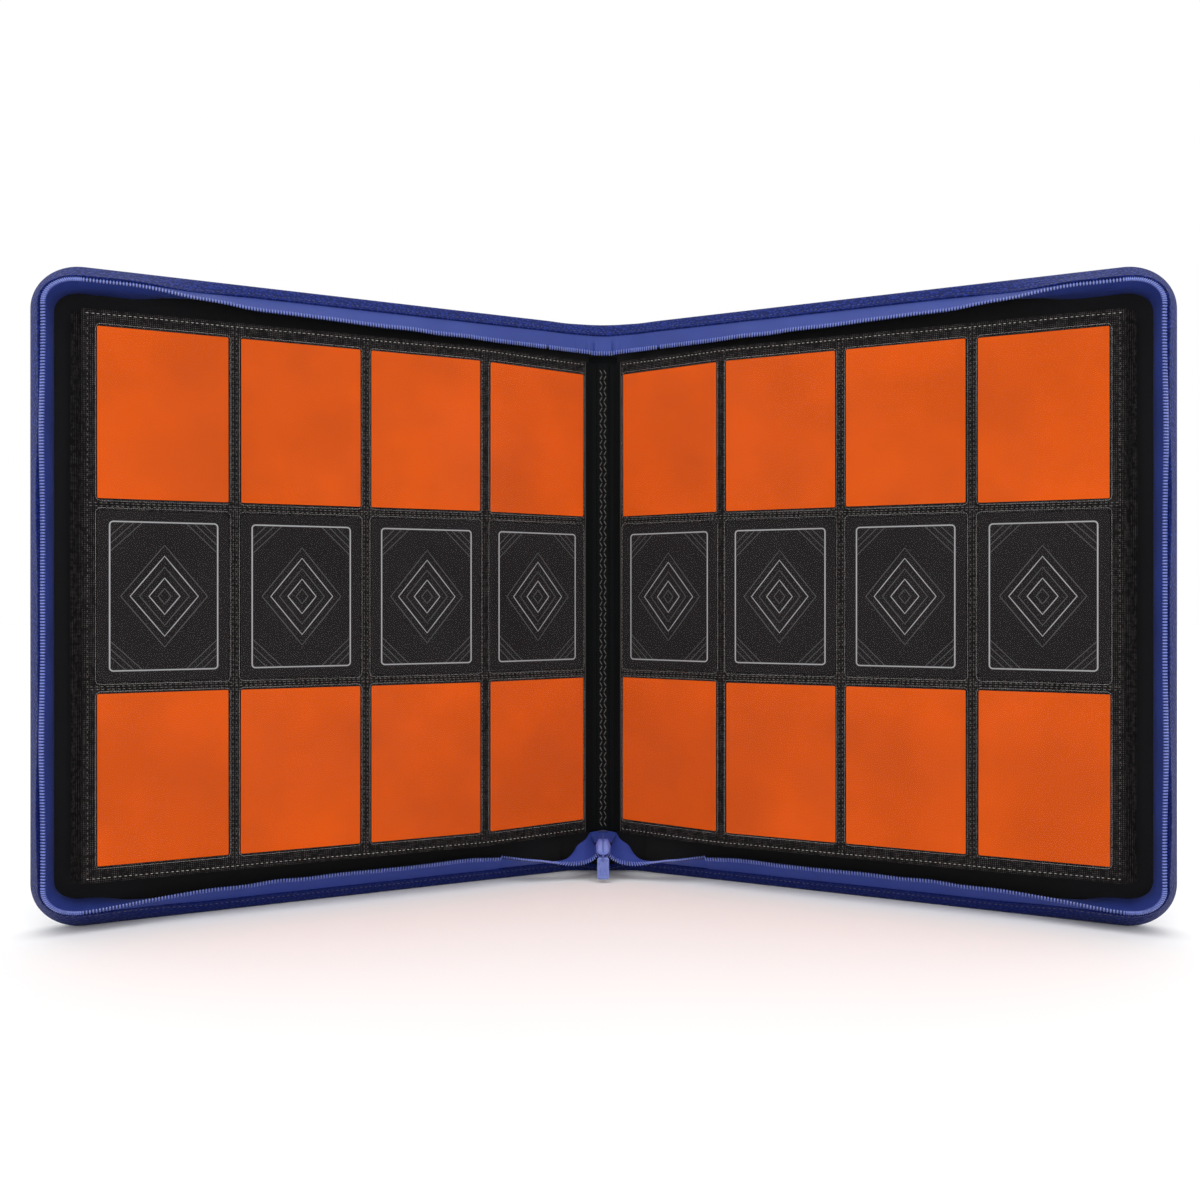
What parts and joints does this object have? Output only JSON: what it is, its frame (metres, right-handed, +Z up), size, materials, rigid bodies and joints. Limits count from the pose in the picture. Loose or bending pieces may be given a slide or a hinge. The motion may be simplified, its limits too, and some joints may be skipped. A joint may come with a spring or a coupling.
{
  "type": "zippered trading card binder",
  "caption": "Zip-around padded binder for trading cards, standing open, with side-loading pocket leaves that turn, hinged covers and a zip slider.",
  "frame": {"origin": "on the floor, at the middle of the open binder's bounding box", "axes": "+Z up, +X across both covers to the right of someone facing the pages, -Y out of the open binder towards that person"},
  "size_m": [0.5988, 0.1414, 0.347],
  "materials": {
    "blue_leatherette": "fine pebbled blue leatherette",
    "foam_padding": "soft closed-cell foam",
    "grey_board": "dense grey book board",
    "black_lining": "smooth black lining cloth",
    "blue_zip_tape": "woven blue zip tape with a slight sheen",
    "blue_zip_teeth": "moulded coil teeth in blue",
    "blue_enamel": "blue enamelled metal, worn at the edges",
    "blue_pull": "blue enamelled tab",
    "black_binding": "black woven strip",
    "grey_thread": "dark grey sewing thread",
    "black_leaf": "black sheet with a woven grain",
    "clear_film": "clear soft film",
    "orange_card": "smooth orange insert card",
    "black_card": "printed black card with a grey frame line"
  },
  "bodies": {
    "spine": {"binding_margins": "black_binding", "binding_stitching": "grey_thread", "binding_strip": "black_binding", "spine_board": "grey_board", "spine_gusset_bottom": "blue_leatherette", "spine_gusset_top": "blue_leatherette", "spine_lining": "black_lining", "spine_padding": "foam_padding", "spine_skin": "blue_leatherette", "spine_zip_bridge": "blue_zip_tape", "zip_closed_tape": "blue_zip_tape", "zip_closed_teeth": "blue_zip_teeth", "zip_end_stop": "blue_enamel"},
    "left_cover": {"left_cover_board": "grey_board", "left_cover_gusset_bottom": "blue_leatherette", "left_cover_gusset_fore": "blue_leatherette", "left_cover_gusset_top": "blue_leatherette", "left_cover_lining": "black_lining", "left_cover_padding": "foam_padding", "left_cover_skin": "blue_leatherette", "left_cover_tape_bottom": "blue_zip_tape", "left_cover_tape_fore": "blue_zip_tape", "left_cover_tape_top": "blue_zip_tape", "left_cover_teeth_bottom": "blue_zip_teeth", "left_cover_teeth_fore": "blue_zip_teeth", "left_cover_teeth_top": "blue_zip_teeth"},
    "right_cover": {"right_cover_board": "grey_board", "right_cover_gusset_bottom": "blue_leatherette", "right_cover_gusset_fore": "blue_leatherette", "right_cover_gusset_top": "blue_leatherette", "right_cover_lining": "black_lining", "right_cover_padding": "foam_padding", "right_cover_skin": "blue_leatherette", "right_cover_tape_bottom": "blue_zip_tape", "right_cover_tape_fore": "blue_zip_tape", "right_cover_tape_top": "blue_zip_tape", "right_cover_teeth_bottom": "blue_zip_teeth", "right_cover_teeth_fore": "blue_zip_teeth", "right_cover_teeth_top": "blue_zip_teeth"},
    "left_leaves": {"left_leaf_stack": "black_leaf"},
    "right_leaves": {"right_leaf_stack": "black_leaf"},
    "left_leaf_1": {"left_leaf_1_backing": "black_leaf", "left_leaf_1_dark_cards": "black_card", "left_leaf_1_insert_cards": "orange_card", "left_leaf_1_pockets": "clear_film"},
    "left_leaf_2": {"left_leaf_2_backing": "black_leaf", "left_leaf_2_dark_cards": "black_card", "left_leaf_2_insert_cards": "orange_card", "left_leaf_2_pockets": "clear_film"},
    "right_leaf_1": {"right_leaf_1_backing": "black_leaf", "right_leaf_1_dark_cards": "black_card", "right_leaf_1_insert_cards": "orange_card", "right_leaf_1_pockets": "clear_film"},
    "right_leaf_2": {"right_leaf_2_backing": "black_leaf", "right_leaf_2_dark_cards": "black_card", "right_leaf_2_insert_cards": "orange_card", "right_leaf_2_pockets": "clear_film"},
    "slider": {"zip_slider": "blue_enamel"},
    "pull": {"zip_pull": "blue_pull"}
  },
  "joints": [
    {"name": "left_cover_hinge", "type": "hinge", "parent": "spine", "child": "left_cover", "pos_m": [-0.02475, 0.06749, 0.1735], "axis": [0, 0, -1], "range_deg": [-67, 23]},
    {"name": "left_leaves_hinge", "type": "hinge", "parent": "spine", "child": "left_leaves", "pos_m": [-0.016, 0.06149, 0.1735], "axis": [0, 0, -1], "range_deg": [-67, 23]},
    {"name": "left_leaf_2_turn", "type": "hinge", "parent": "left_leaves", "child": "left_leaf_2", "pos_m": [-0.00978, 0.06214, 0.1735], "axis": [0, 0, 1], "range_deg": [0, 20]},
    {"name": "left_leaf_1_turn", "type": "hinge", "parent": "left_leaf_2", "child": "left_leaf_1", "pos_m": [-0.00914, 0.06086, 0.1735], "axis": [0, 0, 1], "range_deg": [0, 110]},
    {"name": "right_cover_hinge", "type": "hinge", "parent": "spine", "child": "right_cover", "pos_m": [0.02475, 0.06749, 0.1735], "axis": [0, 0, 1], "range_deg": [-67, 23]},
    {"name": "right_leaves_hinge", "type": "hinge", "parent": "spine", "child": "right_leaves", "pos_m": [0.016, 0.06149, 0.1735], "axis": [0, 0, 1], "range_deg": [-67, 23]},
    {"name": "right_leaf_2_turn", "type": "hinge", "parent": "right_leaves", "child": "right_leaf_2", "pos_m": [0.00978, 0.06214, 0.1735], "axis": [0, 0, -1], "range_deg": [0, 10]},
    {"name": "right_leaf_1_turn", "type": "hinge", "parent": "right_leaf_2", "child": "right_leaf_1", "pos_m": [0.00914, 0.06086, 0.1735], "axis": [0, 0, -1], "range_deg": [0, 15]},
    {"name": "slider_slide", "type": "slide", "parent": "spine", "child": "slider", "axis": [0, -0.9986, -0.0532], "range_m": [-0.0024, 0]},
    {"name": "pull_hinge", "type": "hinge", "parent": "slider", "child": "pull", "pos_m": [0, 0.03624, 0.01457], "axis": [-1, 0, 0], "range_deg": [-25, 90]}
  ],
  "couplings": [
    {"joint": "left_leaves_hinge", "follows": "left_cover_hinge", "ratio": 1},
    {"joint": "right_leaves_hinge", "follows": "right_cover_hinge", "ratio": 1}
  ]
}
